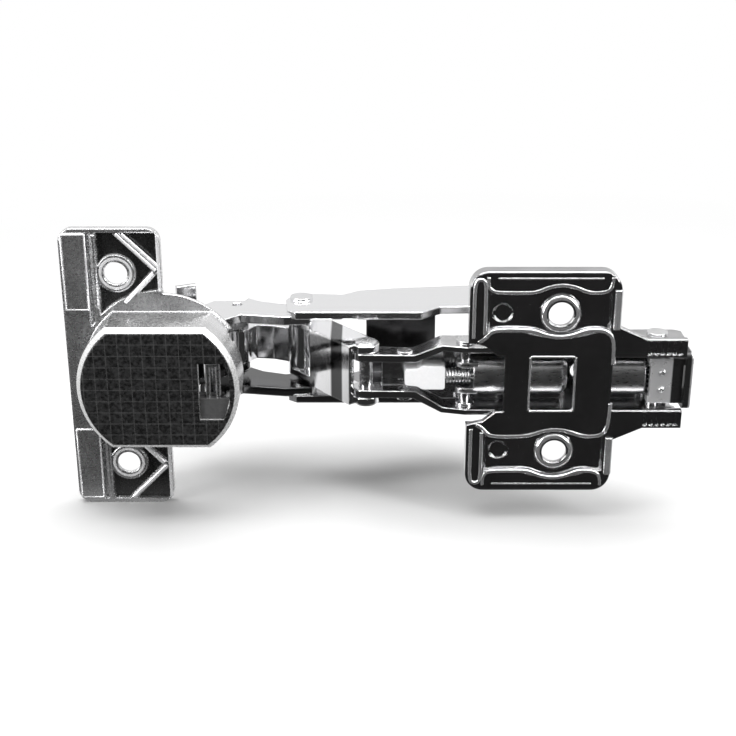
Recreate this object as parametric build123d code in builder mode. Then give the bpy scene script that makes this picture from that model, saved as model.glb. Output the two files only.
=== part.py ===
"""Concealed cup hinge with a wide-opening linkage, soft closing and a two-hole mounting plate.

Frame: X runs along the arm into the cabinet, Y points away from the cabinet side, Z is up along the
hinge pins. The origin is the middle of the two plate screws, on the face that lies on the cabinet side.
The model stands with the door open at a right angle to its closed position.
"""
from build123d import *
import math
import os

os.makedirs("parts", exist_ok=True)

# ---------------------------------------------------------------- pivots (X, Y) of the linkage
front_pivot = Vector(-41.5, 7.5)      # inner lever on the arm
lever_run = Vector(-15.0, 18.5)       # front pivot to crossing pivot
leg_run = Vector(-19.2, -21.0)        # crossing pivot to cup pivot
tail_run = Vector(-15.0, -0.3)        # crossing pivot to nose pivot
rear_run = Vector(42.5, 5.7)          # front pivot to arm link pivot
cross_pivot = front_pivot + lever_run
cup_pivot = cross_pivot + leg_run
nose_pivot = cross_pivot + tail_run
cup_link_pivot = cup_pivot + tail_run
rear_pivot = cross_pivot + rear_run
arm_link_pivot = front_pivot + rear_run

# ---------------------------------------------------------------- fits and sheet thicknesses
running_fit = 0.08                    # radial play of a turning joint
open_fit = 0.12                       # radial play where a link loop is closed
seat_gap = 0.1                        # play under a turning head
pin_radius = 1.4
main_pin_radius = 1.5
pin_head = 0.6
link_sheet = 1.6
lever_sheet = 1.7
arm_sheet = 1.2

# ---------------------------------------------------------------- half-widths of the stacked layers
neck_outer = 5.05
neck_inner = 3.4
lever_inner = 5.3
lever_outer = lever_inner + link_sheet
barrel_half = 4.1
cup_link_inner = 4.4
cup_link_outer = 5.9
nose_inner = 7.7
nose_outer = nose_inner + lever_sheet
side_inner = 9.3
side_outer = 11.0
stack_top = 11.9

# ---------------------------------------------------------------- mounting plate
plate_sheet = 1.5
plate_left = -19.5
plate_right = 12.6
plate_half = 25.4
plate_corner = 4.0
rim_height = 3.8
rim_sheet = 1.4
screw_pitch = 32.0
screw_radius = 2.7
screw_head_radius = 3.9
boss_radius = 4.3
boss_bevel = 0.8
pad_depth = 1.0
pad_left = -15.4
pad_right = 10.6
pad_inner = 12.2
pad_inner_dip = 10.9
pad_outer = 20.6
pad_outer_bump = 22.1
pad_wave = 8.0
pad_web = 0.9
window_left = -6.0
window_right = 3.55
window_half = 6.2
window_corner = 0.9
notch_edge = -11.6
notch_half = 6.5
notch_mouth = 9.8
arm_half = 7.85
rail_play = 0.4
rail_sheet = 1.35
tongue_lip = 0.7
rail_inner = arm_half + rail_play
rail_outer = rail_inner + rail_sheet
rail_front = -14.0
rail_top = 8.6
tongue_end = 27.5
tongue_half = rail_outer + tongue_lip
tongue_flare = 13.2
tongue_neck = 19.0
tooth_pitch = 1.3
tooth_depth = 0.5
dimple_radius = 2.0
dimple_depth = 0.4
dimple_x = -12.3

# ---------------------------------------------------------------- arm
arm_back = 9.6
arm_end = 25.8
neck_end = -31.2
flare_end = -25.0
nose_radius = 2.9
arm_web_start = -38.0
arm_lug_outer = 5.0
arm_lug_radius = 3.0
link_end_radius = 3.2
axle_x = 22.0
axle_y = 5.6
stud_x = -9.5
stud_radius = 1.6
screw_x = 7.5
side_screw_radius = 1.8
side_screw_head = 2.7
screw_slot_run = 1.6
cam_x = 16.0
cam_radius = 3.6
cam_spindle = 1.5
cam_height = 1.9
cam_teeth = 24

# ---------------------------------------------------------------- soft closing unit
damper_y = 5.5
damper_half_y = 2.85
damper_half_z = 4.2
damper_front = -18.0
damper_rear = 2.6
guide_front = 11.8
guide_rear = 19.6
rod_radius = 0.8
rod_end = -8.0
slider_front = -33.0
slider_rear = -24.2
slider_front_half = 1.7
slider_half = 2.7
coil_radius = 1.45
coil_wire = 0.3
coil_turns = 8
coil_recess = 3.2
ear_x = -19.7
ear_radius = 2.1
rivet_radius = 1.2
neck_rivet_x = -33.0
neck_rivet_y = 6.1
neck_rivet_radius = 1.3

# ---------------------------------------------------------------- cup
cup_x = -86.2
flange_y = 8.2
cup_radius = 17.5
cup_depth = 11.8
cup_flat = 13.86
cup_bevel = 1.2
cup_bore = 16.3
cup_bore_half = 10.6
cup_floor = 2.0
rim_radius = 17.9
rim_lip = 1.0
flange_thickness = 2.0
flange_left = cup_x - 21.46
flange_right = cup_x + 0.38
flange_half = 32.5
flange_corner = 3.0
recess_depth = 1.0
border_rib = 0.9
pad_strip = 5.9
ridge_left = -100.9
ridge_width = 1.3
cup_screw_x = cup_x - 9.5
cup_screw_pitch = 45.0
cup_screw_radius = 2.55
cup_boss_radius = 4.2
rib_width = 1.1
lug_inner = 6.1
lug_outer = 7.4
lug_radius = 2.6
cup_pin_half = 12.0
window_x = cup_x + 8.8
window_low = -6.9
window_high = 6.05
window_reach = 15.6
slot_half_low = 7.4
slot_half_high = 9.75
slot_floor = 5.1
front_rim = 7.2


def across(y):
    """Sketch plane parallel to the cabinet side; a positive extrusion runs back towards Y = 0."""
    return Plane.XZ.offset(-y)


def shape(*points):
    """Closed straight-sided outline added to the open sketch."""
    Polygon(*points, align=None)


def bar(points, half_width, mode=Mode.ADD):
    """Round-ended bar along a chain of points."""
    for start, end in zip(points, points[1:]):
        run = end - start
        with Locations((start + end) / 2):
            SlotCenterToCenter(run.length, 2 * half_width, math.degrees(math.atan2(run.Y, run.X)), mode=mode)


def taper(start, start_radius, end, end_radius):
    """Link outline between two round ends of different size."""
    side = (end - start).normalized().rotate(Axis.Z, 90)
    with Locations(start):
        Circle(start_radius)
    with Locations(end):
        Circle(end_radius)
    shape(start + side * start_radius, end + side * end_radius,
          end - side * end_radius, start - side * start_radius)


def holes(points, radius):
    for point in points:
        with Locations(point):
            Circle(radius, mode=Mode.SUBTRACT)




# ================================================================ mounting plate
tray_mid = (plate_left + plate_right) / 2
tray_length = plate_right - plate_left
with BuildPart() as mounting_plate:
    with BuildSketch(across(rim_height)):
        with Locations((tray_mid, 0)):
            RectangleRounded(tray_length, 2 * plate_half, plate_corner)
            RectangleRounded(tray_length - 2 * rim_sheet, 2 * (plate_half - rim_sheet),
                             plate_corner - rim_sheet, mode=Mode.SUBTRACT)
    extrude(amount=rim_height)
    with BuildSketch(across(plate_sheet)):
        with Locations((tray_mid, 0)):
            RectangleRounded(tray_length - rim_sheet, 2 * plate_half - rim_sheet, plate_corner - rim_sheet)
        shape((plate_right - rim_sheet, tongue_flare), (plate_right, tongue_flare), (tongue_neck, tongue_half),
              (tongue_end, tongue_half), (tongue_end, -tongue_half), (tongue_neck, -tongue_half),
              (plate_right, -tongue_flare), (plate_right - rim_sheet, -tongue_flare))
    extrude(amount=plate_sheet)
    for side in (-1, 1):
        with BuildSketch(across(plate_sheet + pad_depth)):
            with BuildLine():
                Line((pad_left - pad_web, side * (pad_outer + pad_web)),
                     (-pad_wave, side * (pad_outer + pad_web)))
                ThreePointArc((-pad_wave, side * (pad_outer + pad_web)),
                              (0, side * (pad_outer_bump + pad_web)),
                              (pad_wave, side * (pad_outer + pad_web)))
                Polyline((pad_wave, side * (pad_outer + pad_web)),
                         (pad_right + pad_web, side * (pad_outer + pad_web)),
                         (pad_right + pad_web, side * (pad_inner - pad_web)),
                         (pad_wave, side * (pad_inner - pad_web)))
                ThreePointArc((pad_wave, side * (pad_inner - pad_web)),
                              (0, side * (pad_inner_dip - pad_web)),
                              (-pad_wave, side * (pad_inner - pad_web)))
                Polyline((-pad_wave, side * (pad_inner - pad_web)),
                         (pad_left - pad_web, side * (pad_inner - pad_web)),
                         (pad_left - pad_web, side * (pad_outer + pad_web)))
            make_face()
        extrude(amount=pad_depth)
        with BuildSketch(across(pad_depth)):
            with BuildLine():
                Line((pad_left, side * pad_outer), (-pad_wave, side * pad_outer))
                ThreePointArc((-pad_wave, side * pad_outer), (0, side * pad_outer_bump),
                              (pad_wave, side * pad_outer))
                Polyline((pad_wave, side * pad_outer), (pad_right, side * pad_outer),
                         (pad_right, side * pad_inner), (pad_wave, side * pad_inner))
                ThreePointArc((pad_wave, side * pad_inner), (0, side * pad_inner_dip),
                              (-pad_wave, side * pad_inner))
                Polyline((-pad_wave, side * pad_inner), (pad_left, side * pad_inner),
                         (pad_left, side * pad_outer))
            make_face()
        extrude(amount=pad_depth, mode=Mode.SUBTRACT)
        with BuildSketch(across(pad_depth)):
            with Locations((0, side * screw_pitch / 2)):
                Circle(boss_radius)
        extrude(amount=pad_depth, taper=math.degrees(math.atan2(boss_bevel, pad_depth)))
        with BuildSketch(across(pad_depth + dimple_depth)):
            with Locations((dimple_x, side * screw_pitch / 2)):
                Circle(dimple_radius)
        extrude(amount=dimple_depth, mode=Mode.SUBTRACT)
    with BuildSketch(across(rim_height)):
        with Locations((0, screw_pitch / 2), (0, -screw_pitch / 2)):
            Circle(screw_radius)
    extrude(amount=rim_height, mode=Mode.SUBTRACT)
    with BuildSketch(across(plate_sheet + pad_depth)):
        with Locations((0, screw_pitch / 2), (0, -screw_pitch / 2)):
            Circle(screw_head_radius)
    extrude(amount=screw_head_radius - screw_radius, taper=45, mode=Mode.SUBTRACT)
    # passage of the arm through the rim, and the notch in front
    with BuildSketch(across(rim_height)):
        Rectangle(4 * tray_length, 2 * tongue_half)
    extrude(amount=rim_height - plate_sheet, mode=Mode.SUBTRACT)
    with BuildSketch(across(plate_sheet)):
        shape((plate_left - 1, notch_mouth), (plate_left + 3.5, notch_mouth - 1), (notch_edge - 1.6, notch_half),
              (notch_edge, notch_half), (notch_edge, -notch_half), (notch_edge - 1.6, -notch_half),
              (plate_left + 3.5, 1 - notch_mouth), (plate_left - 1, -notch_mouth))
        with Locations(((window_left + window_right) / 2, 0)):
            RectangleRounded(window_right - window_left, 2 * window_half, window_corner)
        with Locations(((plate_right + tongue_end) / 2, 0)):
            Rectangle(tongue_end - plate_right + 2 * window_corner, 2 * window_half)
    extrude(amount=plate_sheet, mode=Mode.SUBTRACT)
    # side rails that take the arm
    with BuildSketch(Plane.XY.offset(rail_inner)):
        shape((rail_front, plate_sheet), (tongue_end, plate_sheet), (tongue_end, rail_top - 1),
              (tongue_end - 1.5, rail_top), (rail_front + 5, rail_top), (rail_front, plate_sheet + 2.5))
        holes([Vector(axle_x, axle_y)], main_pin_radius)
        holes([Vector(stud_x, axle_y)], stud_radius)
    rail = extrude(amount=rail_outer - rail_inner)
    mirror(rail, about=Plane.XY)
    # serrated edges of the tongue
    tooth_count = int((tongue_end - tongue_neck) / tooth_pitch)
    for tooth in range(tooth_count):
        tooth_x = tongue_neck + tooth_pitch * (tooth + 0.5)
        with BuildSketch(Plane.XY.offset(window_half + 0.6)):
            shape((tooth_x - tooth_depth, 0), (tooth_x, tooth_depth), (tooth_x + tooth_depth, 0))
        groove = extrude(amount=tongue_half - window_half - 1.2, mode=Mode.SUBTRACT)
        mirror(groove, about=Plane.XY, mode=Mode.SUBTRACT)

mounting_plate.part.label = "mounting_plate"
export_step(mounting_plate.part, "parts/mounting_plate.step")

# ================================================================ arm
with BuildPart() as arm:
    with BuildSketch(across(front_pivot.Y + nose_radius)):
        shape((front_pivot.X - nose_radius, neck_outer), (neck_end, neck_outer), (flare_end, arm_half),
              (arm_end, arm_half), (arm_end, -arm_half), (flare_end, -arm_half), (neck_end, -neck_outer),
              (front_pivot.X - nose_radius, -neck_outer))
    extrude(amount=front_pivot.Y + nose_radius)
    with BuildSketch(Plane.XY.offset(-arm_half)):
        with Locations(front_pivot):
            Circle(nose_radius)
        shape((front_pivot.X, front_pivot.Y + nose_radius), (neck_end - 2, arm_back), (arm_end, arm_back),
              (arm_end, plate_sheet), (plate_left, plate_sheet), (flare_end - 1, 3.2), (neck_end, 4.3),
              (front_pivot.X, front_pivot.Y - nose_radius))
    extrude(amount=2 * arm_half, mode=Mode.INTERSECT)
    with BuildSketch(across(arm_back - arm_sheet)):
        shape((front_pivot.X - nose_radius, neck_inner), (neck_end + 0.6, neck_inner),
              (flare_end + 0.4, arm_half - arm_sheet), (arm_end, arm_half - arm_sheet),
              (arm_end, arm_sheet - arm_half), (flare_end + 0.4, arm_sheet - arm_half),
              (neck_end + 0.6, -neck_inner), (front_pivot.X - nose_radius, -neck_inner))
    extrude(amount=arm_back, mode=Mode.SUBTRACT)
    with BuildSketch(across(front_pivot.Y + nose_radius)):
        with Locations(((front_pivot.X - nose_radius + arm_web_start) / 2, 0)):
            Rectangle(arm_web_start - front_pivot.X + nose_radius, 2 * neck_inner)
    extrude(amount=front_pivot.Y + nose_radius, mode=Mode.SUBTRACT)
    # lugs of the arm link
    with BuildSketch(Plane.XY.offset(neck_inner)):
        with Locations(arm_link_pivot):
            Circle(arm_lug_radius)
        shape((arm_link_pivot.X - arm_lug_radius, arm_back - arm_sheet / 2),
              (arm_link_pivot.X + arm_lug_radius, arm_back - arm_sheet / 2),
              (arm_link_pivot.X + arm_lug_radius, arm_link_pivot.Y),
              (arm_link_pivot.X - arm_lug_radius, arm_link_pivot.Y))
    lug = extrude(amount=arm_lug_outer - neck_inner)
    mirror(lug, about=Plane.XY)
    with BuildSketch(Plane.XY.offset(-arm_half)):
        with Locations(front_pivot, arm_link_pivot, Vector(axle_x, axle_y)):
            Circle(main_pin_radius)
        with Locations(Vector(stud_x, axle_y)):
            Circle(stud_radius)
        with Locations(Vector(ear_x, damper_y)):
            Circle(rivet_radius)
        with Locations(Vector(neck_rivet_x, neck_rivet_y)):
            Circle(neck_rivet_radius)
    extrude(amount=2 * arm_half, mode=Mode.SUBTRACT)
    with BuildSketch(across(arm_back)):
        with Locations((screw_x, 0)):
            SlotCenterToCenter(2 * screw_slot_run, 2 * (side_screw_radius + 0.2))
        with Locations((cam_x, 0)):
            Circle(cam_spindle + running_fit)
    extrude(amount=arm_sheet, mode=Mode.SUBTRACT)

arm.part.label = "arm"
export_step(arm.part, "parts/arm.step")

# ================================================================ pins and rivets of the fixed part
with BuildPart() as front_pin:
    with Locations(front_pivot):
        Cylinder(main_pin_radius, 2 * (lever_outer + seat_gap))
        with Locations((0, 0, lever_outer + seat_gap + 0.15), (0, 0, -lever_outer - seat_gap - 0.15)):
            Cylinder(main_pin_radius + 0.9, 0.3)
front_pin.part.label = "front_pin"
export_step(front_pin.part, "parts/front_pin.step")

with BuildPart() as arm_link_pin:
    with Locations(arm_link_pivot):
        Cylinder(main_pin_radius, 2 * (lever_outer + 2 * seat_gap))
        head_z = lever_outer + 2 * seat_gap + pin_head / 2
        with Locations((0, 0, head_z), (0, 0, -head_z)):
            Cylinder(main_pin_radius + 0.9, pin_head)
arm_link_pin.part.label = "arm_link_pin"
export_step(arm_link_pin.part, "parts/arm_link_pin.step")

with BuildPart() as clip_axle:
    with Locations(Vector(axle_x, axle_y)):
        Cylinder(main_pin_radius, 2 * rail_outer)
        with Locations((0, 0, rail_outer + pin_head / 2), (0, 0, -rail_outer - pin_head / 2)):
            Cylinder(main_pin_radius + 0.8, pin_head)
clip_axle.part.label = "clip_axle"
export_step(clip_axle.part, "parts/clip_axle.step")

with BuildPart() as clip_studs:
    with BuildSketch(Plane.XY.offset(arm_half - arm_sheet)):
        with Locations(Vector(stud_x, axle_y)):
            Circle(stud_radius)
    stud = extrude(amount=rail_outer - arm_half + arm_sheet)
    with BuildSketch(Plane.XY.offset(rail_outer)):
        with Locations(Vector(stud_x, axle_y)):
            Circle(stud_radius + 0.8)
    stud_head = extrude(amount=pin_head)
    mirror(stud, about=Plane.XY)
    mirror(stud_head, about=Plane.XY)
clip_studs.part.label = "clip_studs"
export_step(clip_studs.part, "parts/clip_studs.step")

with BuildPart() as neck_rivets:
    with BuildSketch(Plane.XY.offset(neck_inner)):
        with Locations(Vector(neck_rivet_x, neck_rivet_y)):
            Circle(neck_rivet_radius)
    neck_shank = extrude(amount=neck_outer - neck_inner)
    with BuildSketch(Plane.XY.offset(neck_outer)):
        with Locations(Vector(neck_rivet_x, neck_rivet_y)):
            Circle(neck_rivet_radius + 0.4)
    neck_head = extrude(amount=pin_head)
    mirror(neck_shank, about=Plane.XY)
    mirror(neck_head, about=Plane.XY)
neck_rivets.part.label = "neck_rivets"
export_step(neck_rivets.part, "parts/neck_rivets.step")

ear_top = 3.6
with BuildPart() as damper_rivets:
    with BuildSketch(Plane.XY.offset(ear_top - 1.2)):
        with Locations(Vector(ear_x, damper_y)):
            Circle(rivet_radius)
    damper_shank = extrude(amount=arm_half - ear_top + 1.2)
    with BuildSketch(Plane.XY.offset(arm_half - arm_sheet - pin_head)):
        with Locations(Vector(ear_x, damper_y)):
            Circle(ear_radius)
    damper_collar = extrude(amount=pin_head)
    with BuildSketch(Plane.XY.offset(arm_half)):
        with Locations(Vector(ear_x, damper_y)):
            Circle(ear_radius)
    damper_head = extrude(amount=pin_head)
    mirror(damper_shank, about=Plane.XY)
    mirror(damper_collar, about=Plane.XY)
    mirror(damper_head, about=Plane.XY)
damper_rivets.part.label = "damper_rivets"
export_step(damper_rivets.part, "parts/damper_rivets.step")

# ================================================================ soft closing unit in the arm
with BuildPart() as damper_cylinder:
    with BuildSketch(Plane.YZ.offset(damper_front)):
        with Locations((damper_y, 0)):
            Ellipse(damper_half_y, damper_half_z)
    extrude(amount=damper_rear - damper_front)
    chamfer(damper_cylinder.faces().sort_by(Axis.X)[-1].edges(), 1.2)
    # slotted ears in front, held by the rivets
    with BuildSketch(Plane.XY.offset(ear_top - 1.2)):
        with Locations(Vector(ear_x, damper_y)):
            Circle(ear_radius)
        shape((ear_x, damper_y - ear_radius), (damper_front + 1, damper_y - ear_radius),
              (damper_front + 1, damper_y + ear_radius), (ear_x, damper_y + ear_radius))
        holes([Vector(ear_x, damper_y)], rivet_radius)
    ear = extrude(amount=1.2)
    mirror(ear, about=Plane.XY)
    with BuildSketch(Plane.YZ.offset(damper_front)):
        with Locations((damper_y, 0)):
            Circle(rod_radius + 0.2)
    extrude(amount=damper_rear - damper_front - 4, mode=Mode.SUBTRACT)
    with BuildSketch(Plane.YZ.offset(damper_front)):
        with Locations((damper_y, 0)):
            Circle(coil_radius + coil_wire + 0.2)
    extrude(amount=coil_recess, mode=Mode.SUBTRACT)
damper_cylinder.part.label = "damper_cylinder"
export_step(damper_cylinder.part, "parts/damper_cylinder.step")

with BuildPart() as rear_guide:
    with BuildSketch(Plane.YZ.offset(guide_front)):
        with Locations((damper_y, 0)):
            Ellipse(damper_half_y, damper_half_z)
    extrude(amount=guide_rear - guide_front)
    with BuildSketch(across(arm_back - arm_sheet)):
        with Locations((cam_x, 0)):
            Circle(cam_spindle + running_fit)
    extrude(amount=damper_half_y + 1, mode=Mode.SUBTRACT)
rear_guide.part.label = "rear_guide"
export_step(rear_guide.part, "parts/rear_guide.step")

with BuildPart() as damper_slider:
    with BuildSketch(across(damper_y + 2.6)):
        shape((slider_front, slider_front_half), (slider_front + 3, slider_front_half + 0.3),
              (slider_front + 3.6, slider_half), (slider_rear, slider_half), (slider_rear, -slider_half),
              (slider_front + 3.6, -slider_half), (slider_front + 3, -slider_front_half - 0.3),
              (slider_front, -slider_front_half))
    extrude(amount=4.4)
    chamfer(damper_slider.edges().filter_by(Axis.Y), 0.35)
    with BuildSketch(Plane.YZ.offset(slider_rear)):
        with Locations((damper_y, 0)):
            Circle(rod_radius)
    extrude(amount=-2, mode=Mode.SUBTRACT)
damper_slider.part.label = "damper_slider"
export_step(damper_slider.part, "parts/damper_slider.step")

with BuildPart() as piston_rod:
    with BuildSketch(Plane.YZ.offset(slider_rear - 2)):
        with Locations((damper_y, 0)):
            Circle(rod_radius)
    extrude(amount=rod_end - slider_rear + 2)
piston_rod.part.label = "piston_rod"
export_step(piston_rod.part, "parts/piston_rod.step")

coil_length = damper_front - slider_rear - 2 * coil_wire
with BuildPart() as damper_spring:
    with BuildLine():
        coil_path = Helix(coil_length / coil_turns, coil_length, coil_radius,
                          center=(slider_rear + coil_wire, damper_y, 0), direction=(1, 0, 0))
    with BuildSketch(Plane(origin=coil_path @ 0, z_dir=coil_path % 0)):
        Circle(coil_wire)
    sweep(is_frenet=True)
damper_spring.part.label = "damper_spring"
export_step(damper_spring.part, "parts/damper_spring.step")

# ================================================================ adjusting screw and depth cam
with BuildPart() as side_screw:
    with BuildSketch(across(arm_back + seat_gap)):
        with Locations((screw_x, 0)):
            Circle(side_screw_radius)
    extrude(amount=arm_back + seat_gap - plate_sheet - seat_gap)
    with BuildSketch(across(arm_back + seat_gap + 1.7)):
        with Locations((screw_x, 0)):
            Circle(side_screw_head)
    extrude(amount=1.7)
    with BuildSketch(across(arm_back + seat_gap + 1.7)):
        with Locations((screw_x, 0)):
            Rectangle(3.6, 0.7)
            Rectangle(0.7, 3.6)
    extrude(amount=1.1, mode=Mode.SUBTRACT)
side_screw.part.label = "side_screw"
export_step(side_screw.part, "parts/side_screw.step")

with BuildPart() as depth_cam:
    with BuildSketch(across(arm_back + seat_gap + cam_height)):
        with Locations((cam_x, 0)):
            Circle(cam_radius)
            with PolarLocations(cam_radius, cam_teeth):
                Circle(0.25, mode=Mode.SUBTRACT)
    extrude(amount=cam_height)
    with BuildSketch(across(arm_back + seat_gap)):
        with Locations((cam_x, 0)):
            Circle(cam_spindle)
    extrude(amount=arm_back + seat_gap - damper_y + 0.6)
    with BuildSketch(across(arm_back + seat_gap + cam_height)):
        with Locations((cam_x, 0)):
            Rectangle(4.4, 0.9)
            Rectangle(0.9, 4.4)
    extrude(amount=1.2, mode=Mode.SUBTRACT)
depth_cam.part.label = "depth_cam"
export_step(depth_cam.part, "parts/depth_cam.step")

# ================================================================ clip release lever
cheek_inner = 3.7
cheek_outer = 5.2
lever_floor = 2.0
with BuildPart() as clip_lever:
    with BuildSketch(Plane.XY.offset(cheek_inner)):
        shape((axle_x - 1.9, lever_floor), (tongue_end + 0.4, lever_floor), (tongue_end + 0.4, 7.6),
              (tongue_end - 0.3, 7.6), (arm_end + 0.6, 7.0), (axle_x + 1, 7.4), (axle_x - 1, 7.4),
              (axle_x - 1.9, 6.6))
        holes([Vector(axle_x, axle_y)], main_pin_radius + running_fit)
    cheek = extrude(amount=cheek_outer - cheek_inner)
    mirror(cheek, about=Plane.XY)
    with BuildSketch(across(lever_floor + arm_sheet)):
        with Locations(((axle_x - 1.6 + tongue_end) / 2, 0)):
            Rectangle(tongue_end - axle_x + 1.6, 2 * cheek_inner)
    extrude(amount=arm_sheet)
    with BuildSketch(Plane.YZ.offset(tongue_end + 0.3)):
        with Locations((5.0, 0)):
            RectangleRounded(7.4, 13.2, 1.5)
    extrude(amount=1.6)
    with BuildSketch(across(lever_floor)):
        with Locations((axle_x + 1, 2), (axle_x + 1, -2)):
            Circle(0.7)
    extrude(amount=0.35, taper=20)
clip_lever.part.label = "clip_lever"
export_step(clip_lever.part, "parts/clip_lever.step")

clip_coil_length = 2 * cheek_inner - 1.0
with BuildPart() as clip_spring:
    with BuildLine(Plane.XY.offset(-clip_coil_length / 2)):
        clip_path = Helix(clip_coil_length / 6, clip_coil_length, 2.0, center=(axle_x, axle_y, 0))
    with BuildSketch(Plane(origin=clip_path @ 0, z_dir=clip_path % 0)):
        Circle(0.28)
    sweep(is_frenet=True)
clip_spring.part.label = "clip_spring"
export_step(clip_spring.part, "parts/clip_spring.step")

# ================================================================ inner lever, folded from polished sheet
along = lever_run.normalized()
left = along.rotate(Axis.Z, 90)
web_far = 4.5
web_near = 3.2
web_start = 0.3
web_end = 15.0
with BuildPart() as inner_lever:
    with BuildSketch(Plane.XY.offset(lever_inner)):
        taper(front_pivot, nose_radius, cross_pivot, 3.4)
        shape(front_pivot + along * web_start + left * 1, front_pivot + along * web_start + left * web_far,
              front_pivot + along * web_end + left * web_far, front_pivot + along * 19 + left * 1)
        holes([front_pivot], main_pin_radius + running_fit)
    ear_plate = extrude(amount=link_sheet)
    mirror(ear_plate, about=Plane.XY)
    with BuildSketch(Plane.XY.offset(-lever_inner)):
        shape(front_pivot + along * web_start + left * web_near, front_pivot + along * web_start + left * web_far,
              front_pivot + along * web_end + left * web_far, front_pivot + along * web_end + left * web_near)
    extrude(amount=2 * lever_inner)
    with BuildSketch(Plane.XY.offset(-lever_inner)):
        with Locations(cross_pivot):
            Circle(3.4)
    extrude(amount=2 * lever_inner)
    with BuildSketch(Plane.XY.offset(-barrel_half)):
        bar([cross_pivot, Vector(-62.5, 28.8), Vector(-68.3, 29.6), nose_pivot], 2.5)
        with Locations(nose_pivot):
            Circle(3.0)
    extrude(amount=2 * barrel_half)
    with BuildSketch(Plane.XY.offset(-lever_outer)):
        with Locations(cross_pivot):
            Circle(main_pin_radius + running_fit)
        with Locations(nose_pivot):
            Circle(pin_radius)
    extrude(amount=2 * lever_outer, mode=Mode.SUBTRACT)
inner_lever.part.label = "inner_lever"
export_step(inner_lever.part, "parts/inner_lever.step")

bumper_at = front_pivot + along * 5.1 + left * 1.95
with BuildPart() as bumper_pin:
    with Locations(bumper_at):
        Cylinder(1.0, 2 * lever_inner)
bumper_pin.part.label = "bumper_pin"
export_step(bumper_pin.part, "parts/bumper_pin.step")

with BuildPart() as nose_pin:
    with Locations(nose_pivot):
        Cylinder(pin_radius, 2 * (cup_link_outer + seat_gap))
        nose_head = cup_link_outer + seat_gap + pin_head / 2
        with Locations((0, 0, nose_head), (0, 0, -nose_head)):
            Cylinder(pin_radius + 0.8, pin_head)
nose_pin.part.label = "nose_pin"
export_step(nose_pin.part, "parts/nose_pin.step")

# ================================================================ outer lever with the long side walls
with BuildPart() as outer_lever:
    with BuildSketch(Plane.XY.offset(side_inner)):
        shape((-60.0, 25), (-59.4, 17.6), (-57.5, 16), (-29, 16), (-24.5, 20), (-11, 20.5), (-9.6, 24),
              (-9.6, 33), (-12, 35.6), (-17, 36), (-33, 34), (-43, 32), (-47, 28.8), (-54.5, 29.4), (-58.5, 28.6))
    extrude(amount=side_outer - side_inner)
    with BuildSketch(Plane.XY.offset(nose_inner)):
        shape((-78.0, 4.2), (-79.4, 13), (-80, 18), (-79.4, 25), (-77, 28.0), (-70.0, 28.1), (-69.2, 30.2),
              (-66, 27.6), (-60.5, 25.6), (-53.6, 27.8), (-53.0, 25), (-54.0, 17.2), (-60, 16.6), (-70, 18.4),
              (-73.2, 15), (-73.6, 9), (-73.45, 4.2), (-74.4, 2.9), (-75.7, 2.6), (-77.0, 2.9))
        holes([cup_pivot], pin_radius + running_fit)
        holes([nose_pivot], 1.2)
    extrude(amount=side_inner - nose_inner + 0.4)
    with BuildSketch(Plane.XY.offset(side_inner - 0.5)):
        shape((-41.5, 30.6), (-33, 32.3), (-25, 33.1), (-25, 34.2), (-33, 33.6), (-41.5, 31.9))
    extrude(amount=-side_inner + 0.5)
    with BuildSketch(Plane.XY.offset(side_inner - 0.5)):
        shape((-41.5, 30.6), (-33, 32.3), (-25, 33.1), (-25, 34.2), (-33, 33.6), (-41.5, 31.9))
    extrude(amount=1.0)
    mirror(about=Plane.XY)
    with BuildSketch(Plane.XY.offset(-side_outer)):
        with Locations(cross_pivot, rear_pivot):
            Circle(main_pin_radius)
    extrude(amount=2 * side_outer, mode=Mode.SUBTRACT)
outer_lever.part.label = "outer_lever"
export_step(outer_lever.part, "parts/outer_lever.step")

with BuildPart() as center_pin:
    with Locations(cross_pivot):
        Cylinder(main_pin_radius, 2 * side_outer)
        with Locations((0, 0, side_outer + pin_head / 2), (0, 0, -side_outer - pin_head / 2)):
            Cylinder(main_pin_radius + 1.1, pin_head)
center_pin.part.label = "center_pin"
export_step(center_pin.part, "parts/center_pin.step")

with BuildPart() as lever_pin:
    collar = (side_inner + lever_outer + 2 * seat_gap) / 2
    with Locations(rear_pivot):
        Cylinder(main_pin_radius, 2 * side_outer)
        with Locations((0, 0, side_outer + pin_head / 2), (0, 0, -side_outer - pin_head / 2)):
            Cylinder(main_pin_radius + 1.1, pin_head)
        with Locations((0, 0, collar), (0, 0, -collar)):
            Cylinder(main_pin_radius + 0.9, side_inner - lever_outer - 2 * seat_gap)
lever_pin.part.label = "lever_pin"
export_step(lever_pin.part, "parts/lever_pin.step")

# ================================================================ rear link between arm and outer lever
with BuildPart() as arm_link:
    with BuildSketch(Plane.XY.offset(lever_inner)):
        taper(arm_link_pivot, link_end_radius, rear_pivot, link_end_radius)
        holes([arm_link_pivot], main_pin_radius + running_fit)
        holes([rear_pivot], main_pin_radius + open_fit)
    strap = extrude(amount=link_sheet)
    mirror(strap, about=Plane.XY)
    with BuildSketch(Plane.XY.offset(-lever_inner)):
        shape(arm_link_pivot + along * 6 + left * 2, arm_link_pivot + along * 6 + left * link_end_radius,
              arm_link_pivot + along * 18 + left * link_end_radius, arm_link_pivot + along * 18 + left * 2)
    extrude(amount=2 * lever_inner)
arm_link.part.label = "arm_link"
export_step(arm_link.part, "parts/arm_link.step")

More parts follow.
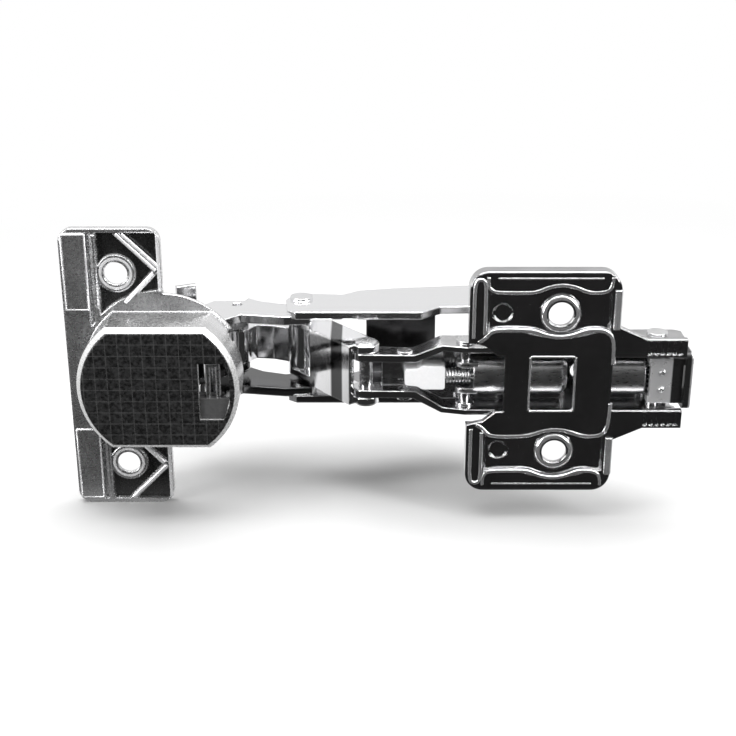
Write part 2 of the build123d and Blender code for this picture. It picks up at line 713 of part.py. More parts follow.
# ================================================================ cup link with the winged back
link_out = (cup_link_pivot - nose_pivot).normalized().rotate(Axis.Z, -90)
link_mid = (cup_link_pivot + nose_pivot) / 2
with BuildPart() as cup_link:
    with BuildSketch(Plane.XY.offset(cup_link_inner)):
        bar([nose_pivot, nose_pivot * 0.75 + cup_link_pivot * 0.25 + link_out * 0.8,
             nose_pivot * 0.3 + cup_link_pivot * 0.7 + link_out * 0.8, cup_link_pivot], 2.6)
        shape(nose_pivot, nose_pivot + Vector(0.5, 2.5), (-75.6, 36.5), (-86.5, 31.4), (-84.5, 27.5),
              (-81.5, 20), link_mid)
        holes([nose_pivot], pin_radius + running_fit)
        holes([cup_link_pivot], pin_radius + open_fit)
    link_ear = extrude(amount=cup_link_outer - cup_link_inner)
    mirror(link_ear, about=Plane.XY)
    with BuildSketch(Plane.XY.offset(-cup_link_outer)):
        shape((-75.6, 36.5), (-86.5, 31.4), (-86.0, 30.2), (-75.0, 35.3))
    extrude(amount=2 * cup_link_outer)
    with BuildSketch(Plane.XY.offset(-12.4)):
        shape((-82.2, 33.4), (-86.5, 31.4), (-86.0, 30.2), (-81.7, 32.2))
    extrude(amount=24.8)
cup_link.part.label = "cup_link"
export_step(cup_link.part, "parts/cup_link.step")

# ================================================================ die-cast cup with its flange
cup_bottom = flange_y - cup_depth
floor_top = cup_bottom + cup_floor
flange_top = flange_y + flange_thickness
with BuildPart() as cup:
    with BuildSketch(across(flange_y)):
        with Locations((cup_x, 0)):
            Circle(cup_radius)
            Rectangle(4 * cup_radius, 2 * cup_flat, mode=Mode.INTERSECT)
    extrude(amount=cup_depth)
    chamfer(cup.faces().sort_by(Axis.Y)[0].edges(), cup_bevel)
    with BuildSketch(across(flange_y + rim_lip)):
        with Locations((cup_x, 0)):
            Circle(rim_radius)
    extrude(amount=rim_lip)
    with BuildSketch(across(flange_top)):
        with Locations(((flange_left + flange_right) / 2, 0)):
            RectangleRounded(flange_right - flange_left, 2 * flange_half, flange_corner)
    extrude(amount=flange_thickness)
    # hollow underside of the flange, with its pad strip, ridge, ribs and screw bosses
    for side in (-1, 1):
        with BuildSketch(across(flange_y + recess_depth)):
            recess_left = flange_left + pad_strip
            recess_right = flange_right - border_rib
            recess_top = flange_half - border_rib
            shape((recess_left, side * recess_top), (recess_right, side * recess_top), (recess_right, 0),
                  (recess_left, 0))
            with Locations((ridge_left + ridge_width / 2, side * flange_half / 2)):
                Rectangle(ridge_width, flange_half, mode=Mode.SUBTRACT)
            with Locations((cup_x, 0)):
                Circle(rim_radius + 0.8, mode=Mode.SUBTRACT)
            bar([Vector(-95.3, side * recess_top), Vector(-87.0, side * 23.2)], rib_width / 2, Mode.SUBTRACT)
            bar([Vector(-87.4, side * 22.6), Vector(-94.0, side * 15.8)], rib_width / 2, Mode.SUBTRACT)
            with Locations((cup_screw_x, side * cup_screw_pitch / 2)):
                Circle(cup_boss_radius, mode=Mode.SUBTRACT)
        extrude(amount=recess_depth, mode=Mode.SUBTRACT)
    with BuildSketch(across(flange_top)):
        with Locations((cup_screw_x, cup_screw_pitch / 2), (cup_screw_x, -cup_screw_pitch / 2)):
            Circle(cup_screw_radius)
    extrude(amount=flange_thickness, mode=Mode.SUBTRACT)
    with BuildSketch(across(flange_top)):
        with Locations((cup_screw_x, cup_screw_pitch / 2), (cup_screw_x, -cup_screw_pitch / 2)):
            Circle(cup_screw_radius + 1.2)
    extrude(amount=1.2, taper=45, mode=Mode.SUBTRACT)
    # hollow of the cup
    with BuildSketch(across(flange_top)):
        with Locations((cup_x, 0)):
            Circle(cup_bore)
            Rectangle(4 * cup_radius, 2 * cup_bore_half, mode=Mode.INTERSECT)
    extrude(amount=flange_top - floor_top, mode=Mode.SUBTRACT)
    # slots in the front wall for the legs of the outer lever
    with BuildSketch(Plane.XY.offset(slot_half_low)):
        shape((cup_x + 11, slot_floor), (cup_x + 20, slot_floor), (cup_x + 20, flange_top),
              (cup_x + 11, flange_top))
    leg_slot = extrude(amount=slot_half_high - slot_half_low, mode=Mode.SUBTRACT)
    mirror(leg_slot, about=Plane.XY, mode=Mode.SUBTRACT)
    # low front rim under the levers, and relief behind for the cup link
    with BuildSketch(across(flange_top)):
        with Locations((cup_x + cup_radius, 0)):
            Rectangle(12, 2 * slot_half_low + 0.2)
    extrude(amount=flange_top - front_rim, mode=Mode.SUBTRACT)
    with BuildSketch(across(flange_top)):
        with Locations((cup_x - cup_bore, 0)):
            Rectangle(4.4, 2 * cup_link_outer + 1)
    extrude(amount=flange_thickness - 0.6, mode=Mode.SUBTRACT)
    # lugs of the cup link pin
    with BuildSketch(Plane.XY.offset(lug_inner)):
        with Locations(cup_link_pivot):
            Circle(lug_radius)
        shape((cup_link_pivot.X - lug_radius, cup_link_pivot.Y),
              (cup_link_pivot.X - lug_radius - 1, floor_top - cup_floor / 2),
              (cup_link_pivot.X + lug_radius, floor_top - cup_floor / 2),
              (cup_link_pivot.X + lug_radius, cup_link_pivot.Y))
        holes([cup_link_pivot], pin_radius)
    cup_lug = extrude(amount=lug_outer - lug_inner)
    mirror(cup_lug, about=Plane.XY)
    with BuildSketch(Plane.XY.offset(-cup_pin_half)):
        with Locations(cup_pivot):
            Circle(pin_radius)
    extrude(amount=2 * cup_pin_half, mode=Mode.SUBTRACT)
    # window in the floor
    with BuildSketch(across(floor_top)):
        with Locations((cup_x, 0)):
            Circle(window_reach)
        with Locations((window_x + cup_radius / 2, (window_low + window_high) / 2)):
            Rectangle(cup_radius, window_high - window_low, mode=Mode.INTERSECT)
    extrude(amount=cup_floor, mode=Mode.SUBTRACT)
cup.part.label = "cup"
export_step(cup.part, "parts/cup.step")

with BuildPart() as cup_pin:
    with Locations(cup_pivot):
        Cylinder(pin_radius, 2 * cup_pin_half)
cup_pin.part.label = "cup_pin"
export_step(cup_pin.part, "parts/cup_pin.step")

with BuildPart() as cup_link_pin:
    with Locations(cup_link_pivot):
        Cylinder(pin_radius, 2 * lug_outer)
cup_link_pin.part.label = "cup_link_pin"
export_step(cup_link_pin.part, "parts/cup_link_pin.step")

holder_top = -2.2
holder_front = cup_bottom + 0.7
with BuildPart() as spring_holder:
    with BuildSketch(across(floor_top + 1.1)):
        with Locations((cup_x + 11.2, (window_low + holder_top) / 2)):
            Rectangle(5.6, holder_top - window_low + 1.4)
    extrude(amount=1.1)
    with BuildSketch(across(floor_top)):
        with Locations((cup_x, 0)):
            Circle(window_reach - 0.1)
        with Locations((window_x + 0.1 + cup_radius / 2, (window_low + 0.1 + holder_top) / 2)):
            Rectangle(cup_radius, holder_top - window_low - 0.1, mode=Mode.INTERSECT)
    extrude(amount=floor_top - holder_front)
    with BuildSketch(Plane.XY.offset(holder_top - 2.2)):
        with Locations((cup_x + 10.7, floor_top - 0.1), (cup_x + 12.9, floor_top - 0.1)):
            Circle(0.55)
    extrude(amount=3.2, mode=Mode.SUBTRACT)
spring_holder.part.label = "spring_holder"
export_step(spring_holder.part, "parts/spring_holder.step")

with BuildPart() as cup_spring:
    with BuildLine(Plane.XZ.offset(-(floor_top - 0.1))):
        Polyline((cup_x + 10.7, holder_top - 2.2), (cup_x + 10.7, 5.2), (cup_x + 12.9, 5.2),
                 (cup_x + 12.9, holder_top - 2.2))
    with BuildSketch(Plane.XY.offset(holder_top - 2.2)):
        with Locations((cup_x + 10.7, floor_top - 0.1)):
            Circle(0.55)
    sweep(transition=Transition.RIGHT)
cup_spring.part.label = "cup_spring"
export_step(cup_spring.part, "parts/cup_spring.step")
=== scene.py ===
"""Dressed scene of the concealed cup hinge: finishes, thin trim, floor, light and camera.

X runs along the arm into the cabinet, Y away from the camera and Z up along the hinge pins. Lengths
are in metres; tables of trim are in millimetres and say so.
"""
import math

import bpy
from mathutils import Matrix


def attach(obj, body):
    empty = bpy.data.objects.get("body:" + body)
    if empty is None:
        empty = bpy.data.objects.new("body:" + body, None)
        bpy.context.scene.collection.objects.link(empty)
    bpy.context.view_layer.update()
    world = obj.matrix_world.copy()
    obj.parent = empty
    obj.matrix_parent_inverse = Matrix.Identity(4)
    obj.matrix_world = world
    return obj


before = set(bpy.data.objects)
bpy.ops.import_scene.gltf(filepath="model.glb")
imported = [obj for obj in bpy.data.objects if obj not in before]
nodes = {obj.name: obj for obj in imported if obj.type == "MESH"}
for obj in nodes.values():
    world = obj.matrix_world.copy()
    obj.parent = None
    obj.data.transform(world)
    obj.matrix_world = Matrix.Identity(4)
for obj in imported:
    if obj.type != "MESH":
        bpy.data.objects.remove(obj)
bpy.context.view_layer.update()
MM = 0.001

# ---------------------------------------------------------------- shader helpers
NOISE_LOW, NOISE_HIGH = 0.3, 0.7      # the span a noise texture really fills
COOL = 1.01                           # blue over red and green in every grey
RELIEF = 0.35                         # bump strength of the metals
BEVEL_SAMPLES = 6


def grey(value):
    return (value, value, value, 1)


def new_material(name):
    mat = bpy.data.materials.new(name)
    mat.use_nodes = True
    tree = mat.node_tree
    tree.nodes.clear()
    out = tree.nodes.new("ShaderNodeOutputMaterial")
    bsdf = tree.nodes.new("ShaderNodeBsdfPrincipled")
    tree.links.new(bsdf.outputs["BSDF"], out.inputs["Surface"])
    coord = tree.nodes.new("ShaderNodeTexCoord")
    return mat, tree, bsdf, coord


def split_axes(tree, source):
    split = tree.nodes.new("ShaderNodeSeparateXYZ")
    tree.links.new(source, split.inputs["Vector"])
    return split.outputs


def combine(tree, operation, *sources):
    """Math node over sockets and plain numbers."""
    node = tree.nodes.new("ShaderNodeMath")
    node.operation = operation
    for slot, source in zip(node.inputs, sources):
        if isinstance(source, (int, float)):
            slot.default_value = source
        else:
            tree.links.new(source, slot)
    return node.outputs[0]


def noise(tree, coord, scale, detail, stretch=(1, 1, 1)):
    mapping = tree.nodes.new("ShaderNodeMapping")
    mapping.inputs["Scale"].default_value = stretch
    tex = tree.nodes.new("ShaderNodeTexNoise")
    tex.inputs["Scale"].default_value = scale
    tex.inputs["Detail"].default_value = detail
    tree.links.new(coord.outputs["Object"], mapping.inputs["Vector"])
    tree.links.new(mapping.outputs["Vector"], tex.inputs["Vector"])
    return tex.outputs["Fac"]


def remap(tree, source, low, high, out_low, out_high):
    node = tree.nodes.new("ShaderNodeMapRange")
    node.inputs["From Min"].default_value = low
    node.inputs["From Max"].default_value = high
    node.inputs["To Min"].default_value = out_low
    node.inputs["To Max"].default_value = out_high
    tree.links.new(source, node.inputs["Value"])
    return node.outputs["Result"]


def spread_noise(tree, source, out_low, out_high):
    return remap(tree, source, NOISE_LOW, NOISE_HIGH, out_low, out_high)


def blend(tree, factor, first, second):
    """Mix of two colours, each a socket or a plain colour."""
    mix = tree.nodes.new("ShaderNodeMix")
    mix.data_type = "RGBA"
    tree.links.new(factor, mix.inputs[0])
    for slot, colour in ((mix.inputs[6], first), (mix.inputs[7], second)):
        if isinstance(colour, tuple):
            slot.default_value = colour
        else:
            tree.links.new(colour, slot)
    return mix.outputs[2]


def grey_mix(tree, factor, dark, light):
    return blend(tree, factor, (dark, dark, dark * COOL, 1), (light, light, light * COOL, 1))


def relief(tree, bsdf, height, strength, distance, edge):
    """Bump from a height, over softly rounded edges."""
    bump = tree.nodes.new("ShaderNodeBump")
    bump.inputs["Strength"].default_value = strength
    bump.inputs["Distance"].default_value = distance
    bevel = tree.nodes.new("ShaderNodeBevel")
    bevel.samples = BEVEL_SAMPLES
    bevel.inputs["Radius"].default_value = edge
    tree.links.new(height, bump.inputs["Height"])
    tree.links.new(bevel.outputs["Normal"], bump.inputs["Normal"])
    tree.links.new(bump.outputs["Normal"], bsdf.inputs["Normal"])


# ---------------------------------------------------------------- kinds of finish
CLOUD_SCALE, CLOUD_DETAIL = 90.0, 3.0
GRAIN_DETAIL = 6.0


def metal(name, tones, gloss, grain, bump_depth, edge, stretch=(1, 1, 1), metallic=1.0):
    """Metal with cloudy tone, uneven gloss (middle, spread), fine grain and rounded edges."""
    mat, tree, bsdf, coord = new_material(name)
    cloud = noise(tree, coord, CLOUD_SCALE, CLOUD_DETAIL, stretch)
    fine = noise(tree, coord, grain, GRAIN_DETAIL, stretch)
    rough, spread = gloss
    tree.links.new(grey_mix(tree, spread_noise(tree, cloud, 0, 1), *tones), bsdf.inputs["Base Color"])
    tree.links.new(spread_noise(tree, fine, rough - spread, rough + spread), bsdf.inputs["Roughness"])
    bsdf.inputs["Metallic"].default_value = metallic
    relief(tree, bsdf, fine, RELIEF, bump_depth, edge)
    return mat


def shaded_metal(name, axis, steps, rough, metallic=1.0):
    """Polished metal whose tone follows one axis, for painted light and shade and one painted band: steps lists
    (place in mm, tone).
    """
    gloss_spread = 0.04
    grain_scale, grain_detail = 600.0, 5.0
    bump_depth, edge = 0.00001, 0.0005
    mat, tree, bsdf, coord = new_material(name)
    along = split_axes(tree, coord.outputs["Object"])[axis]
    tone = steps[0][1]
    for (low, tone_low), (high, tone_high) in zip(steps, steps[1:]):
        change = remap(tree, along, low * MM, high * MM, 0.0, tone_high - tone_low)
        tone = combine(tree, "ADD", tone, change)
    grain = noise(tree, coord, grain_scale, grain_detail)
    tree.links.new(grey_mix(tree, tone, 0.0, 1.0), bsdf.inputs["Base Color"])
    tree.links.new(spread_noise(tree, grain, rough - gloss_spread, rough + gloss_spread),
                   bsdf.inputs["Roughness"])
    bsdf.inputs["Metallic"].default_value = metallic
    relief(tree, bsdf, grain, RELIEF, bump_depth, edge)
    return mat


def plastic(name, dark, light, rough):
    grain_scale, grain_detail, gloss_spread = 1800.0, 5.0, 0.08
    strength, bump_depth, edge = 0.25, 0.00003, 0.0003
    mat, tree, bsdf, coord = new_material(name)
    fine = noise(tree, coord, grain_scale, grain_detail)
    tree.links.new(grey_mix(tree, fine, dark, light), bsdf.inputs["Base Color"])
    tree.links.new(spread_noise(tree, fine, rough - gloss_spread, rough + gloss_spread),
                   bsdf.inputs["Roughness"])
    relief(tree, bsdf, fine, strength, bump_depth, edge)
    return mat


# places on the cup, in metres
GRID_PITCH, GRID_LINE, GRID_SHIFT_X = 0.00130, 0.00014, 0.0006
FACE_EDGE = (-0.00345, -0.00335)      # Y where the flat face ends
CHAMFER_START = (-0.00335, -0.0033)   # Y where the painted highlight on the chamfer begins
CHAMFER_END = (-0.0024, -0.0022)
# painted shade in the flange recesses, on faces turned to the front, within these spans
RECESS_X = (-0.1000, -0.0997)         # beside the ridge of the flange
RECESS_Y = (0.0082, 0.0084)           # behind the flange's raised walls
RECESS_Z = (0.0110, 0.0140)           # distance from the middle
FACING_FRONT = (-0.9, -0.3)           # Y of the normal


def cast_cup():
    """Plated casting: satin walls, painted shade in the flange recesses, a painted highlight on the chamfer,
    dark face with a fine grid.
    """
    # the recess tone is painted shade; the chamfer tone and chamfer metallic make a painted highlight on the
    # chamfer
    body_tones, recess_shade_tone = (0.55, 0.8), 0.1
    face_tones, face_span = (0.012, 0.05), (0.35, 0.7)
    line_tone, line_weight, chamfer_highlight_tone = 0.16, 0.5, 0.62
    grain_scale, cloud_scale = 1500.0, 120.0
    gloss_low, gloss_high = 0.22, 0.34
    chamfer_highlight_metallic, body_metallic, face_metallic = 0.5, 0.95, 0.55
    bump_depth, edge = 0.00003, 0.0006
    mat, tree, bsdf, coord = new_material("cast_cup")
    at = split_axes(tree, coord.outputs["Object"])
    facing = split_axes(tree, coord.outputs["Normal"])
    grain = noise(tree, coord, grain_scale, GRAIN_DETAIL)
    cloud = noise(tree, coord, cloud_scale, CLOUD_DETAIL)

    lines = [remap(tree, combine(tree, "PINGPONG", combine(tree, "ADD", at[axis], shift), GRID_PITCH),
                   0.0, GRID_LINE, 1, 0)
             for axis, shift in (("X", GRID_SHIFT_X), ("Z", 0.0))]
    face = remap(tree, at["Y"], *FACE_EDGE, 1, 0)
    grid = combine(tree, "MULTIPLY", combine(tree, "MAXIMUM", *lines), face)

    # painted shade: darkens faces turned to the front inside the flange recesses
    recess_shade = remap(tree, facing["Y"], *FACING_FRONT, 1, 0)
    apart = combine(tree, "ABSOLUTE", at["Z"])
    for source, span in ((at["X"], RECESS_X), (at["Y"], RECESS_Y), (apart, RECESS_Z)):
        recess_shade = combine(tree, "MULTIPLY", recess_shade, remap(tree, source, *span, 0, 1))

    body = blend(tree, recess_shade, grey_mix(tree, spread_noise(tree, cloud, 0, 1), *body_tones),
                 grey(recess_shade_tone))
    dark = grey_mix(tree, remap(tree, grain, *face_span, 0, 1), *face_tones)
    faced = blend(tree, face, body, dark)
    lined = blend(tree, combine(tree, "MULTIPLY", grid, line_weight), faced, grey(line_tone))
    # painted highlight on the chamfer: lighter tone and lower metallic
    chamfer_highlight = combine(tree, "MULTIPLY", remap(tree, at["Y"], *CHAMFER_START, 0, 1),
                      remap(tree, at["Y"], *CHAMFER_END, 1, 0))
    tree.links.new(blend(tree, chamfer_highlight, lined, grey(chamfer_highlight_tone)), bsdf.inputs["Base Color"])
    tree.links.new(spread_noise(tree, grain, gloss_low, gloss_high), bsdf.inputs["Roughness"])
    plated = combine(tree, "MULTIPLY", remap(tree, chamfer_highlight, 0, 1, 1.0, chamfer_highlight_metallic),
                     remap(tree, face, 0, 1, body_metallic, face_metallic))
    tree.links.new(plated, bsdf.inputs["Metallic"])
    relief(tree, bsdf, combine(tree, "ADD", grain, grid), RELIEF, bump_depth, edge)
    return mat


# ---------------------------------------------------------------- finishes
# metal: tones (dark, light), gloss (middle, spread), grain scale, bump depth, edge radius
plate_nickel = metal("plate_nickel", (0.4, 0.55), (0.12, 0.04), 700.0, 0.00001, 0.0009)
# painted highlight: beads, rings and dots on the nickel sheet parts, painted lighter than the sheet they belong
# to
edge_chrome = metal("edge_chrome", (0.85, 0.97), (0.2, 0.05), 900.0, 0.00002, 0.0003,
                    metallic=0.9)
# painted highlight: ribs, rings and edge beads on the cup, painted lighter than the cast nickel
cast_edge = metal("cast_edge", (0.7, 0.9), (0.25, 0.05), 900.0, 0.00002, 0.0003, metallic=0.5)
arm_nickel = metal("arm_nickel", (0.5, 0.72), (0.14, 0.05), 800.0, 0.00001, 0.0005)
lever_chrome = metal("lever_chrome", (0.86, 0.96), (0.1, 0.04), 600.0, 0.00001, 0.0005)
pin_steel = metal("pin_steel", (0.6, 0.78), (0.22, 0.08), 1400.0, 0.00003, 0.0003)
wire_steel = metal("wire_steel", (0.5, 0.66), (0.3, 0.08), 2000.0, 0.00002, 0.0001)
tube_steel = metal("tube_steel", (0.6, 0.78), (0.3, 0.06), 500.0, 0.00001, 0.0005,
                   stretch=(1, 6, 6))
white_plastic = plastic("white_plastic", 0.62, 0.72, 0.4)
dark_plastic = plastic("dark_plastic", 0.03, 0.07, 0.45)
cup_metal = cast_cup()
# painted light: nearly white on the top sheet, painted shade below it, mid-grey again at the bottom edge
long_lever_metal = shaded_metal("long_lever_metal", "Z",
                                ((-9.0, 0.4), (-7.5, 0.09), (5.0, 0.14), (7.6, 0.96)), 0.12)
# painted light and shade: lighter towards the top, darker towards the bottom
link_metal = shaded_metal("link_metal", "Z", ((-8.0, 0.06), (2.0, 0.16), (7.0, 0.7)), 0.16)
# one dark upright band, where the photo shows a pin behind the front link
panel_metal = shaded_metal("panel_metal", "X",
                           ((-49.6, 0.95), (-49.2, 0.08), (-47.0, 0.1), (-46.7, 0.96)), 0.1)
# dark end plate of the release lever, with a painted highlight at each rim
clip_metal = shaded_metal("clip_metal", "X",
                          ((25.0, 0.7), (25.3, 0.03), (28.9, 0.03), (29.3, 0.8)), 0.3,
                          metallic=0.7)
finish = {
    "mounting_plate": plate_nickel, "arm": arm_nickel, "arm_link": link_metal,
    "cup_link": link_metal, "clip_lever": clip_metal, "inner_lever": panel_metal,
    "outer_lever": long_lever_metal, "center_pin": lever_chrome, "cup": cup_metal, "damper_cylinder": tube_steel,
    "rear_guide": tube_steel, "damper_slider": white_plastic, "spring_holder": dark_plastic,
    "damper_spring": wire_steel, "clip_spring": wire_steel, "cup_spring": wire_steel,
}
for name, obj in nodes.items():
    obj.data.materials.clear()
    obj.data.materials.append(finish.get(name, pin_steel))

# ---------------------------------------------------------------- trim helpers
BEAD_FACETS, BEAD_STEPS, BEAD_ORDER = 3, 8, 3
RING_STEPS, DOT_STEPS = 64, 20


def settle(obj, mat, body):
    obj.data.materials.append(mat)
    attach(obj, body)


def link_object(name, data):
    obj = bpy.data.objects.new(name, data)
    bpy.context.collection.objects.link(obj)
    return obj


def tube(name, points, radius, mat, body, slot_name, closed=False, rounded=True):
    """Round bead along points given in millimetres."""
    data = bpy.data.curves.new(name, "CURVE")
    data.dimensions = "3D"
    data.bevel_depth = radius * MM
    data.bevel_resolution = BEAD_FACETS
    data.resolution_u = BEAD_STEPS
    data.use_fill_caps = True
    spline = data.splines.new("NURBS" if rounded else "POLY")
    spline.points.add(len(points) - 1)
    for point, (x, y, z) in zip(spline.points, points):
        point.co = (x * MM, y * MM, z * MM, 1)
    if rounded:
        spline.order_u = BEAD_ORDER
        spline.use_endpoint_u = not closed
    spline.use_cyclic_u = closed
    obj = link_object(name, data)
    settle(obj, mat, body)


def lathe(name, centre, profile, mat, body, slot_name, steps=RING_STEPS):
    """Ring about an axis along Y; the profile lists (radius, depth) in millimetres."""
    verts = []
    for step in range(steps):
        turn = 2 * math.pi * step / steps
        for radius, depth in profile:
            verts.append(((centre[0] + radius * math.cos(turn)) * MM, (centre[1] + depth) * MM,
                          (centre[2] + radius * math.sin(turn)) * MM))
    count = len(profile)
    faces = [(step * count + i, ((step + 1) % steps) * count + i,
              ((step + 1) % steps) * count + (i + 1) % count, step * count + (i + 1) % count)
             for step in range(steps) for i in range(count)]
    mesh = bpy.data.meshes.new(name)
    mesh.from_pydata(verts, [], faces)
    mesh.validate()
    for face in mesh.polygons:
        face.use_smooth = True
    obj = link_object(name, mesh)
    settle(obj, mat, body)


def block(name, low, high, mat, body, slot_name, round_mm):
    """Box between two corners in millimetres, with rounded edges."""
    corners = [(x, y, z) for x in (low[0], high[0]) for y in (low[1], high[1])
               for z in (low[2], high[2])]
    mesh = bpy.data.meshes.new(name)
    mesh.from_pydata([tuple(c * MM for c in corner) for corner in corners], [],
                     [(0, 1, 3, 2), (4, 6, 7, 5), (0, 4, 5, 1), (2, 3, 7, 6), (0, 2, 6, 4), (1, 5, 7, 3)])
    obj = link_object(name, mesh)
    bevel = obj.modifiers.new("round", "BEVEL")
    bevel.width = round_mm * MM
    bevel.segments = BEAD_FACETS
    settle(obj, mat, body)


# ---------------------------------------------------------------- trim tables, in millimetres
ON_PLATE = (edge_chrome, "fixed_arm", "nickel")
ON_CUP = (cast_edge, "door_cup", "cast_nickel")
CUP_SKIN = (cup_metal, "door_cup", "cast_nickel")
ON_RELEASE = (edge_chrome, "release", "nickel")

plate_hole_z, plate_hole_depth = 16, -0.05
flange_hole_x, flange_hole_z, flange_hole_depth = -95.7, 22.5, 8.15
# ring profiles: (radius, depth)
plate_ring = ((4.35, 0.75), (4.0, 0.25), (3.6, 0.02), (3.2, 0.0), (2.8, 0.25), (2.72, 1.0),
              (3.4, 1.1))
flange_ring = ((4.3, 0.8), (4.0, 0.2), (3.5, 0.0), (3.1, 0.0), (2.7, 0.3), (2.6, 1.2),
               (3.4, 1.3))
dot_ring = ((0.75, 0.3), (0.5, 0.0), (0.05, -0.12), (0.05, 0.3))

# beads of the plate, as (X, Z) of the upper half: name, points, depth, radius
plate_beads = (
    # pressed bead along the outer edge of each pad, turned up at both ends
    ("pad_bead_outer_", ((-15.6, 24.2), (-15.7, 22.6), (-15.0, 21.2), (-13.2, 20.8), (-9, 20.8),
                         (-5.5, 20.8), (-3, 22.0), (0, 22.6), (3, 22.0), (5.5, 20.8), (8.0, 20.8),
                         (9.9, 21.2), (10.6, 22.6), (10.6, 24.2)), 0.35, 0.5),
    # rolled edge of the raised middle
    ("pad_bead_inner_", ((-17.4, 9.6), (-15.9, 10.4), (-15.0, 11.8), (-13.2, 12.4), (-9, 12.4),
                         (-5.5, 12.2), (-2.6, 11.0), (0, 10.7), (2.6, 11.0), (5.5, 12.2),
                         (8, 12.4), (10.2, 12.0), (11.4, 10.6), (11.7, 7.5), (11.7, 4.6)),
     0.45, 0.6),
    ("plate_lip_right_", ((12.0, 12.6), (12.0, 15), (12.0, 18), (12.0, 21.4)), 0.35, 0.95),
    ("plate_lip_left_", ((-18.5, 10.6), (-18.5, 17), (-18.5, 23.2), (-17.3, 23.8),
                         (-16.1, 23.2), (-16.1, 17), (-16.1, 11.4)), 0.1, 0.42),
    ("plate_edge_line_", ((-13.5, 23.9), (-6, 23.9), (2, 23.9), (8.6, 23.9)), 0.2, 0.3),
)
window_depth, window_bead = 0.1, 0.25
window_top = ((-6.0, 6.35), (-3, 6.35), (0, 6.35), (3.4, 6.35))
window_sides = (("left", -6.1), ("right", 3.7))
window_side_z = (-6.2, -2, 2, 6.2)

# trim of the cup flange: the upper half has a thin double rib, the lower half one thicker rib
flange_front = 8.35
rib_thin, rib_thick = 0.4, 0.55
flange_ribs = (((-95.2, 31.3), (-87.0, 23.2)), ((-93.9, 31.3), (-86.4, 24.0)),
               ((-87.6, 22.6), (-94.0, 15.9)))
second_of_double = 1
flange_ridge = ((-100.2, 31.2), (-100.2, 14.6))
flange_edge = ((-86.3, 31.0), (-86.3, 18.6))
pad_x, pad_y, pad_z, pad_round = (-107.0, -102.0), (7.95, 8.6), (14.2, 31.6), 0.25
pad_outline, pad_outline_depth, pad_outline_bead = (
    ((-107.0, 14.3), (-107.0, 31.2), (-101.9, 31.2), (-101.9, 14.3)), 8.1, 0.28)

lever_dot_x, lever_dot_y, lever_dot_z = 23.0, 1.55, 2.0

# ---------------------------------------------------------------- added trim


def on_side(points, depth, side):
    return [(x, depth, z * side) for x, z in points]


for side in (-1, 1):
    tag = "upper" if side > 0 else "lower"
    lathe("plate_boss_" + tag, (0, plate_hole_depth, plate_hole_z * side), plate_ring, *ON_PLATE)
    lathe("flange_boss_" + tag, (flange_hole_x, flange_hole_depth, flange_hole_z * side),
          flange_ring, *ON_CUP)
    for name, points, depth, radius in plate_beads:
        tube(name + tag, on_side(points, depth, side), radius, *ON_PLATE)
    for number, rib in enumerate(flange_ribs):
        if side > 0 or number != second_of_double:
            tube("flange_rib_%s_%d" % (tag, number), on_side(rib, flange_front, side),
                 rib_thin if side > 0 else rib_thick, *ON_CUP, rounded=False)
    tube("flange_ridge_" + tag, on_side(flange_ridge, flange_front, side), rib_thick, *CUP_SKIN,
         rounded=False)
    tube("flange_edge_" + tag, on_side(flange_edge, flange_front, side), rib_thin, *ON_CUP,
         rounded=False)
    z_low, z_high = sorted((pad_z[0] * side, pad_z[1] * side))
    block("flange_pad_" + tag, (pad_x[0], pad_y[0], z_low), (pad_x[1], pad_y[1], z_high),
          *CUP_SKIN, pad_round)
    tube("flange_pad_edge_" + tag, on_side(pad_outline, pad_outline_depth, side), pad_outline_bead,
         *ON_CUP, closed=True, rounded=False)
    tube("window_frame_" + tag, on_side(window_top, window_depth, side), window_bead, *ON_PLATE,
         rounded=False)
    lathe("lever_dot_" + tag, (lever_dot_x, lever_dot_y, lever_dot_z * side), dot_ring,
          *ON_RELEASE, DOT_STEPS)
for edge_name, x in window_sides:
    tube("window_side_" + edge_name, [(x, window_depth, z) for z in window_side_z], window_bead,
         *ON_PLATE, rounded=False)

# ---------------------------------------------------------------- floor
FLOOR_TOP, FLOOR_SIZE = -0.0326, 6.0
PAPER_TONE = 0.4
MIRROR_SPAN = (-0.005, 0.035)         # Y over which the floor seen in metal turns bright
MIRROR_GLOW = (0.025, 0.9)
FADE_SPAN = (0.14, 0.32)              # distance over which the paper fades into plain white


def light_path(tree, output):
    node = tree.nodes.new("ShaderNodeLightPath")
    return node.outputs[output]


def pick_shader(tree, factor, first, second):
    mix = tree.nodes.new("ShaderNodeMixShader")
    tree.links.new(factor, mix.inputs["Fac"])
    tree.links.new(first.outputs[0], mix.inputs[1])
    tree.links.new(second.outputs[0], mix.inputs[2])
    return mix


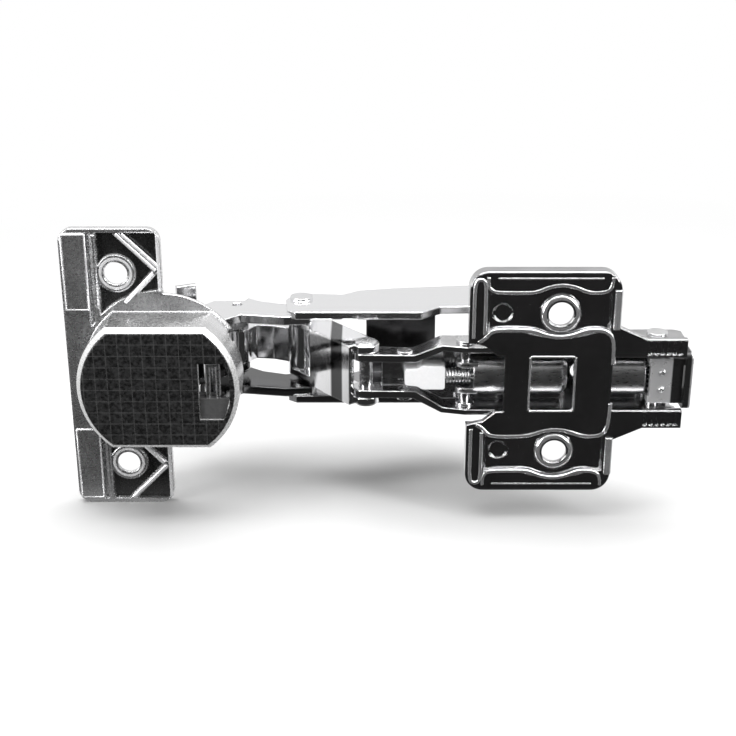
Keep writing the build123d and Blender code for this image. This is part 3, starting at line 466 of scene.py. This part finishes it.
bpy.ops.mesh.primitive_plane_add(size=FLOOR_SIZE, location=(0, 0, FLOOR_TOP))
floor = bpy.context.object
floor.name = "floor"
floor_mat = bpy.data.materials.new("floor_paper")
floor_mat.use_nodes = True
tree = floor_mat.node_tree
tree.nodes.clear()
out = tree.nodes.new("ShaderNodeOutputMaterial")
place = tree.nodes.new("ShaderNodeTexCoord").outputs["Object"]
paper = tree.nodes.new("ShaderNodeBsdfDiffuse")
paper.inputs["Color"].default_value = grey(PAPER_TONE)
mirrored = tree.nodes.new("ShaderNodeEmission")
tree.links.new(remap(tree, split_axes(tree, place)["Y"], *MIRROR_SPAN, *MIRROR_GLOW),
               mirrored.inputs["Strength"])
distance = tree.nodes.new("ShaderNodeVectorMath")
distance.operation = "LENGTH"
tree.links.new(place, distance.inputs[0])
far_white = tree.nodes.new("ShaderNodeEmission")
ground = pick_shader(tree, remap(tree, distance.outputs["Value"], *FADE_SPAN, 0, 1), paper, far_white)
floor_look = pick_shader(tree, light_path(tree, "Is Glossy Ray"), ground, mirrored)
tree.links.new(floor_look.outputs[0], out.inputs["Surface"])
floor.data.materials.append(floor_mat)

# ---------------------------------------------------------------- world and lamps
# The camera sees plain white. The metal sees a room that is dark in front and bright behind,
# overhead and far to the left. Spans are components of the direction.
ROOM_DEPTH, ROOM_DEPTH_GLOW = (-0.35, 0.25), (0.02, 1.0)
ROOM_LEFT, ROOM_LEFT_GLOW = (-0.9, -0.55), (1.0, 0.0)
ROOM_SKY, ROOM_SKY_GLOW = (0.45, 0.8), (0.0, 0.9)

world = bpy.data.worlds.new("studio")
bpy.context.scene.world = world
world.use_nodes = True
tree = world.node_tree
tree.nodes.clear()
out = tree.nodes.new("ShaderNodeOutputWorld")
seen = tree.nodes.new("ShaderNodeBackground")
seen.inputs["Color"].default_value = grey(1)
seen.inputs["Strength"].default_value = 1.0
room = tree.nodes.new("ShaderNodeBackground")
way_out = split_axes(tree, tree.nodes.new("ShaderNodeTexCoord").outputs["Generated"])
depth = remap(tree, way_out["Y"], *ROOM_DEPTH, *ROOM_DEPTH_GLOW)
left = remap(tree, way_out["X"], *ROOM_LEFT, *ROOM_LEFT_GLOW)
sky = remap(tree, way_out["Z"], *ROOM_SKY, *ROOM_SKY_GLOW)
tree.links.new(combine(tree, "MAXIMUM", combine(tree, "MAXIMUM", depth, sky), left),
               room.inputs["Strength"])
world_look = pick_shader(tree, light_path(tree, "Is Camera Ray"), room, seen)
tree.links.new(world_look.outputs[0], out.inputs["Surface"])


def area_light(name, place, aim, size, power):
    data = bpy.data.lights.new(name, "AREA")
    data.shape = "RECTANGLE"
    data.size, data.size_y = size
    data.energy = power
    lamp = bpy.data.objects.new(name, data)
    bpy.context.collection.objects.link(lamp)
    lamp.location = place
    way = [a - b for a, b in zip(aim, place)]
    yaw = math.atan2(way[1], way[0]) - math.pi / 2
    pitch = math.atan2(way[2], math.hypot(way[0], way[1])) + math.pi / 2
    lamp.rotation_euler = (pitch, 0, yaw)


# name, place, aim, size and power in watts
area_light("key_top", (-0.04, 0.05, 0.55), (-0.04, 0, 0), (0.7, 0.5), 9.0)
area_light("strip_left", (-0.42, -0.22, 0.12), (-0.08, 0, 0), (0.08, 0.4), 1.6)
area_light("strip_right", (0.3, -0.2, 0.2), (-0.02, 0, 0), (0.08, 0.35), 1.4)

# ---------------------------------------------------------------- camera, fitted to the photo
CAMERA_LENS, CAMERA_SENSOR = 64.35, 36.0
CAMERA_PLACE = (-0.04088, -0.26446, 0.10644)
LOOK_DOWN, LOOK_ASIDE = 21.21, 0.04   # degrees

camera_data = bpy.data.cameras.new("camera")
camera_data.lens = CAMERA_LENS
camera_data.sensor_width = CAMERA_SENSOR
camera = bpy.data.objects.new("camera", camera_data)
bpy.context.collection.objects.link(camera)
camera.location = CAMERA_PLACE
camera.rotation_euler = (math.radians(90 - LOOK_DOWN), 0, math.radians(LOOK_ASIDE))
bpy.context.scene.camera = camera
bpy.context.scene.view_settings.view_transform = "Standard"
